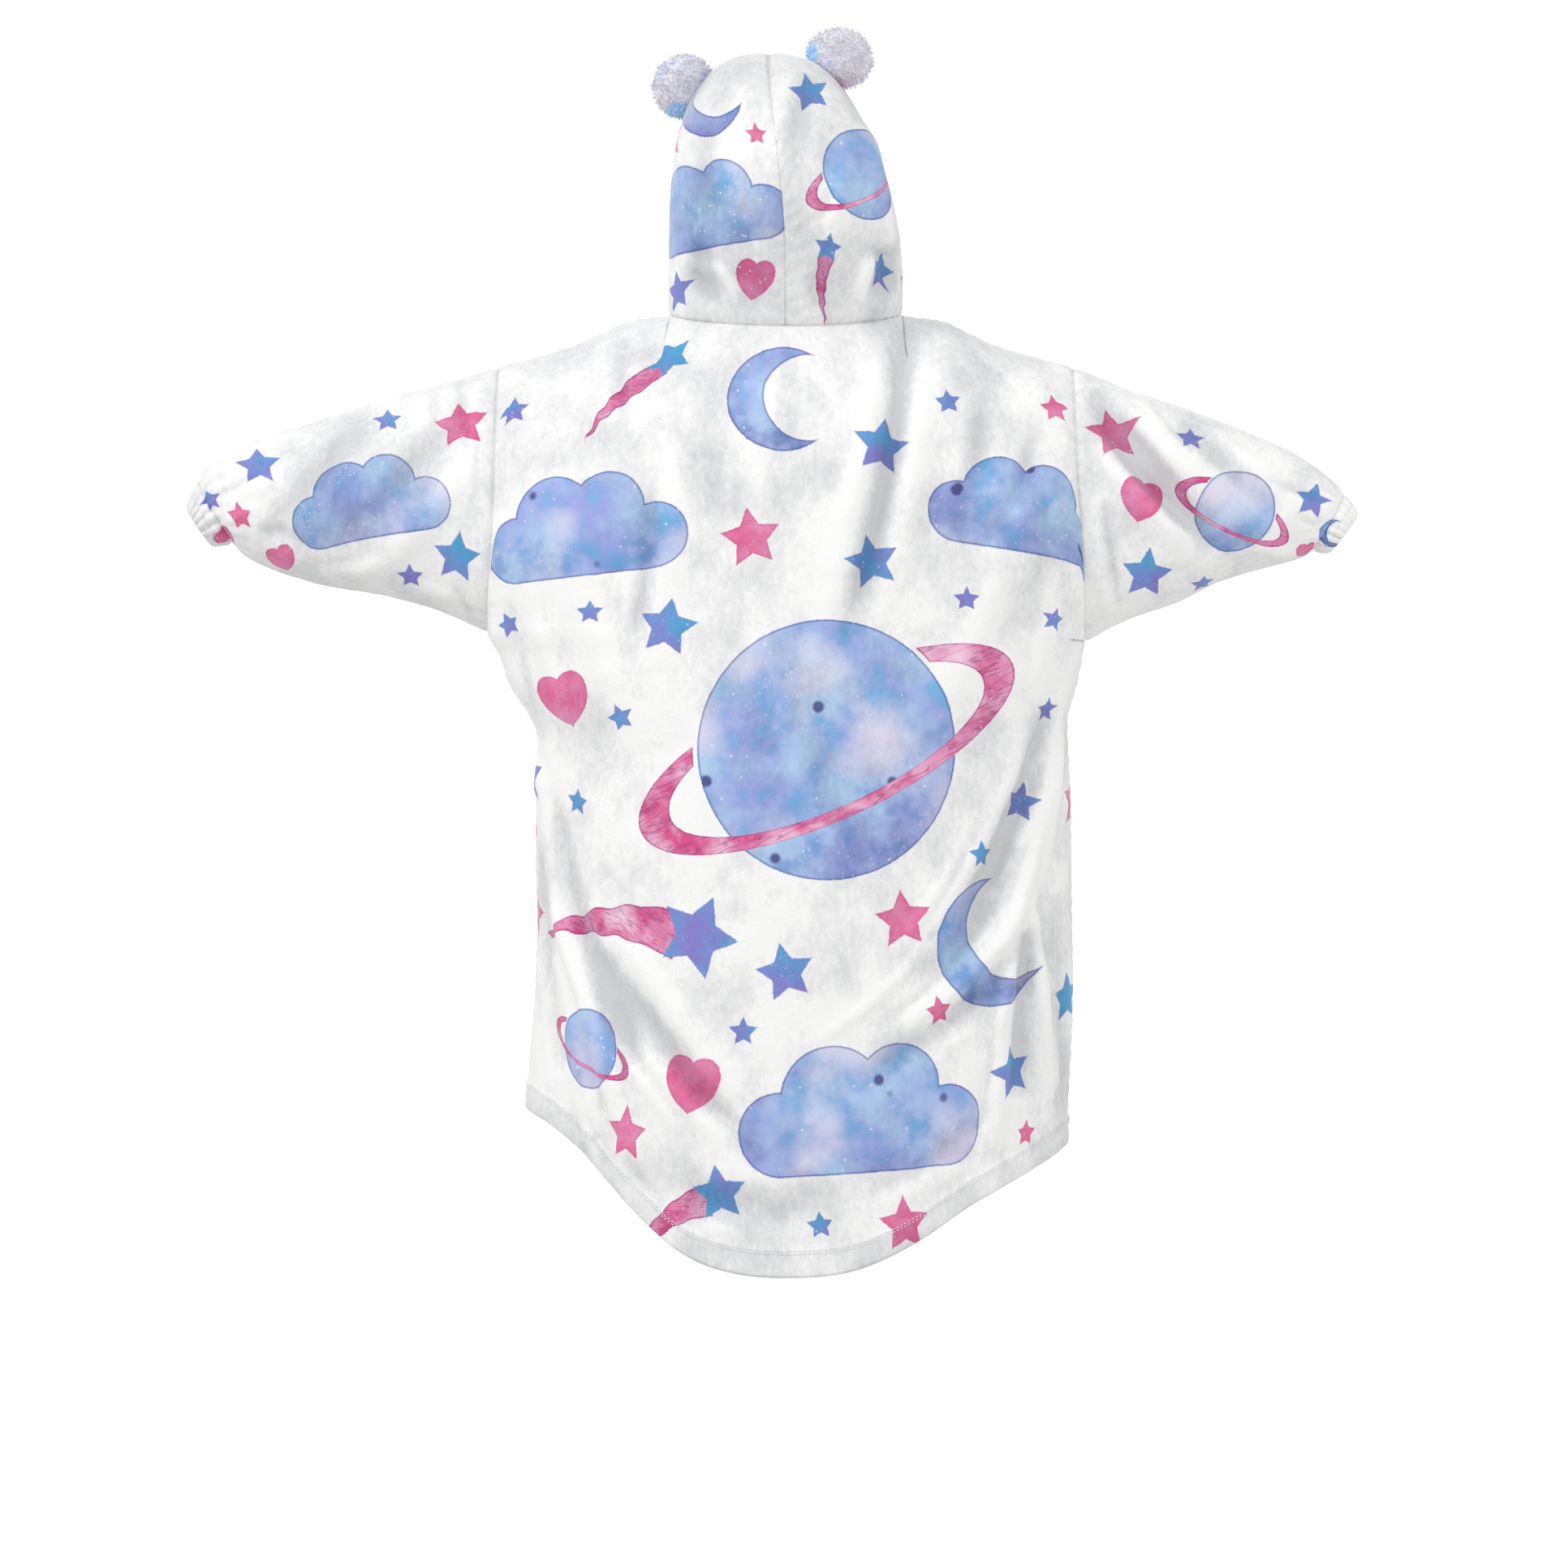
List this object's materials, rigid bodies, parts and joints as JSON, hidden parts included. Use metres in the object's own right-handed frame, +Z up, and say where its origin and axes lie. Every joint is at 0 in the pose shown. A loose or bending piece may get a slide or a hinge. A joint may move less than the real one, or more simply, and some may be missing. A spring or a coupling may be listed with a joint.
{
  "type": "hooded blanket top",
  "caption": "Child's long hooded blanket top with plush ears, gathered cuffs and a curved hem, hollow, in the shape it has when worn with both arms held out.",
  "frame": {"origin": "base of the wearer's neck, midway between the two ends of the shoulder seams at the neckline, where the shoulders carry the garment", "axes": "+Z up out of the neck, +X towards the wearer's left sleeve, -Y towards the front of the garment, so +Y is the back that the picture shows"},
  "size_m": [0.9741, 0.2645, 1.0282],
  "materials": {
    "printed_fleece": "short soft pile with a light sheen, white with a coloured print",
    "cuff_fleece": "short soft pile, drawn up over elastic",
    "ear_plush": "longer fluffy pile, pale lilac"
  },
  "bodies": {
    "root": {"back_panel": "printed_fleece", "front_panel": "printed_fleece", "sleeve_left": "printed_fleece", "sleeve_right": "printed_fleece", "cuff_left": "cuff_fleece", "cuff_right": "cuff_fleece", "hood_left": "printed_fleece", "hood_right": "printed_fleece", "ear_left": "ear_plush", "ear_right": "ear_plush"}
  },
  "joints": []
}
